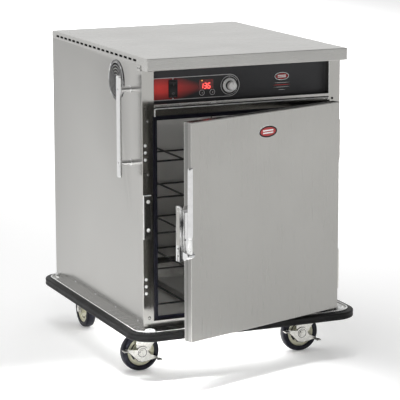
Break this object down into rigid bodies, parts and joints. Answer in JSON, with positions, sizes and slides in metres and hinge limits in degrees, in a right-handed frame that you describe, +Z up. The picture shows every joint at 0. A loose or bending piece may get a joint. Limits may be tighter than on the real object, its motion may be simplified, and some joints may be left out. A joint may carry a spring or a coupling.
{
  "type": "proofing cabinet",
  "caption": "Heated proofing cabinet on swivel casters: insulated steel body, hinged door ajar, wire tray slides, top control panel and a bumper base.",
  "frame": {"origin": "on the floor under the middle of the bounding box, with the door ajar", "axes": "+Z up, -Y towards the door side, +X towards the hinge side"},
  "size_m": [0.79, 1.1044, 1.02],
  "materials": {
    "steel": "brushed stainless sheet",
    "polished_steel": "polished stainless",
    "chrome": "bright chrome plate",
    "zinc": "zinc plate",
    "insulation": "fibreglass batt",
    "panel_black": "gloss black",
    "panel_red": "gloss red print",
    "window": "tinted clear",
    "circuit": "matte",
    "gasket_rubber": "satin rubber",
    "tyre": "polyurethane",
    "hub_plastic": "satin nylon",
    "heater_sheath": "oxidised sheath"
  },
  "bodies": {
    "cabinet": {"outer_shell": "steel", "front_frame": "steel", "inner_liner": "polished_steel", "insulation": "insulation", "top_cover": "steel", "compartment_floor": "steel", "control_panel": "panel_black", "control_overlay": "panel_red", "display_window": "window", "switch_bezel": "panel_black", "panel_badge": "panel_red", "controller_box": "circuit", "fan_guard": "chrome", "vent_fan_frame": "panel_black", "gasket": "gasket_rubber", "strike_bracket": "polished_steel", "hole_plugs": "polished_steel", "hinge_frame_leaves": "polished_steel", "transport_handles": "polished_steel", "base_frame": "steel", "bumper": "gasket_rubber", "slide_uprights": "steel", "tray_rails_left": "polished_steel", "tray_rails_right": "polished_steel", "tray_stop_wires": "polished_steel", "heater_element": "heater_sheath", "blower_motor": "panel_black", "air_baffle": "steel", "water_pan": "polished_steel", "cord_gland": "panel_black", "shell_rivets": "polished_steel", "caster_plates": "zinc"},
    "door": {"door_outer": "steel", "door_inner": "steel", "door_insulation": "insulation", "door_badge": "panel_red", "hinge_door_leaves": "polished_steel", "hinge_pins": "polished_steel", "latch_housing": "chrome"},
    "latch_lever": {"latch_lever": "chrome"},
    "power_rocker": {"rocker_switch": "panel_black"},
    "up_button": {"up_button": "panel_red"},
    "down_button": {"down_button": "panel_red"},
    "knob": {"knob": "chrome"},
    "vent_rotor": {"vent_fan_rotor": "panel_black"},
    "blower": {"blower_wheel": "zinc"},
    "caster_fl": {"fork_fl": "zinc"},
    "caster_fr": {"fork_fr": "zinc"},
    "caster_rl": {"fork_rl": "zinc"},
    "caster_rr": {"fork_rr": "zinc"},
    "wheel_fl": {"hub_fl": "hub_plastic", "tyre_fl": "tyre"},
    "wheel_fr": {"hub_fr": "hub_plastic", "tyre_fr": "tyre"},
    "wheel_rl": {"hub_rl": "hub_plastic", "tyre_rl": "tyre"},
    "wheel_rr": {"hub_rr": "hub_plastic", "tyre_rr": "tyre"},
    "brake_fl": {"brake_fl": "zinc"},
    "brake_fr": {"brake_fr": "zinc"}
  },
  "joints": [
    {"name": "door_hinge", "type": "hinge", "parent": "cabinet", "child": "door", "pos_m": [0.326, -0.31213, 0.5], "axis": [0, 0, 1], "range_deg": [-17.9, 162.1]},
    {"name": "latch_lever_pull", "type": "hinge", "parent": "door", "child": "latch_lever", "pos_m": [-0.29302, -0.53645, 0.447], "axis": [0.9516, 0.3074, 0], "range_deg": [0, 20], "stiffness_Nm_per_rad": 2, "springref_deg": -20.05},
    {"name": "power_rocker_tilt", "type": "hinge", "parent": "cabinet", "child": "power_rocker", "pos_m": [-0.2287, -0.26283, 0.914], "axis": [1, 0, 0], "range_deg": [-12, 0]},
    {"name": "up_button_press", "type": "slide", "parent": "cabinet", "child": "up_button", "axis": [0, 1, 0], "range_m": [0, 0.0015], "stiffness_N_per_m": 400},
    {"name": "down_button_press", "type": "slide", "parent": "cabinet", "child": "down_button", "axis": [0, 1, 0], "range_m": [0, 0.0015], "stiffness_N_per_m": 400},
    {"name": "knob_turn", "type": "hinge", "parent": "cabinet", "child": "knob", "pos_m": [-0.0366, -0.26783, 0.914], "axis": [0, 1, 0], "range_deg": [-135, 135]},
    {"name": "vent_fan_spin", "type": "hinge", "parent": "cabinet", "child": "vent_rotor", "pos_m": [-0.329, -0.07583, 0.924], "axis": [1, 0, 0], "continuous": true},
    {"name": "blower_spin", "type": "hinge", "parent": "cabinet", "child": "blower", "pos_m": [-0.095, 0.43217, 0.51], "axis": [0, 1, 0], "continuous": true},
    {"name": "caster_fl_swivel", "type": "hinge", "parent": "cabinet", "child": "caster_fl", "pos_m": [-0.2845, -0.18483, 0.145], "axis": [0, 0, 1], "continuous": true},
    {"name": "wheel_fl_roll", "type": "hinge", "parent": "caster_fl", "child": "wheel_fl", "pos_m": [-0.3155, -0.18483, 0.0635], "axis": [0, 1, 0], "continuous": true},
    {"name": "brake_fl_rock", "type": "hinge", "parent": "caster_fl", "child": "brake_fl", "pos_m": [-0.3155, -0.20883, 0.0635], "axis": [0, 1, 0], "range_deg": [-16, 0]},
    {"name": "caster_fr_swivel", "type": "hinge", "parent": "cabinet", "child": "caster_fr", "pos_m": [0.2845, -0.18483, 0.145], "axis": [0, 0, 1], "continuous": true},
    {"name": "wheel_fr_roll", "type": "hinge", "parent": "caster_fr", "child": "wheel_fr", "pos_m": [0.2535, -0.18483, 0.0635], "axis": [0, 1, 0], "continuous": true},
    {"name": "brake_fr_rock", "type": "hinge", "parent": "caster_fr", "child": "brake_fr", "pos_m": [0.2535, -0.20883, 0.0635], "axis": [0, 1, 0], "range_deg": [-16, 0]},
    {"name": "caster_rl_swivel", "type": "hinge", "parent": "cabinet", "child": "caster_rl", "pos_m": [-0.2845, 0.41917, 0.145], "axis": [0, 0, 1], "continuous": true},
    {"name": "wheel_rl_roll", "type": "hinge", "parent": "caster_rl", "child": "wheel_rl", "pos_m": [-0.2845, 0.38817, 0.0635], "axis": [1, 0, 0], "continuous": true},
    {"name": "caster_rr_swivel", "type": "hinge", "parent": "cabinet", "child": "caster_rr", "pos_m": [0.2845, 0.41917, 0.145], "axis": [0, 0, 1], "continuous": true},
    {"name": "wheel_rr_roll", "type": "hinge", "parent": "caster_rr", "child": "wheel_rr", "pos_m": [0.2845, 0.38817, 0.0635], "axis": [1, 0, 0], "continuous": true}
  ]
}
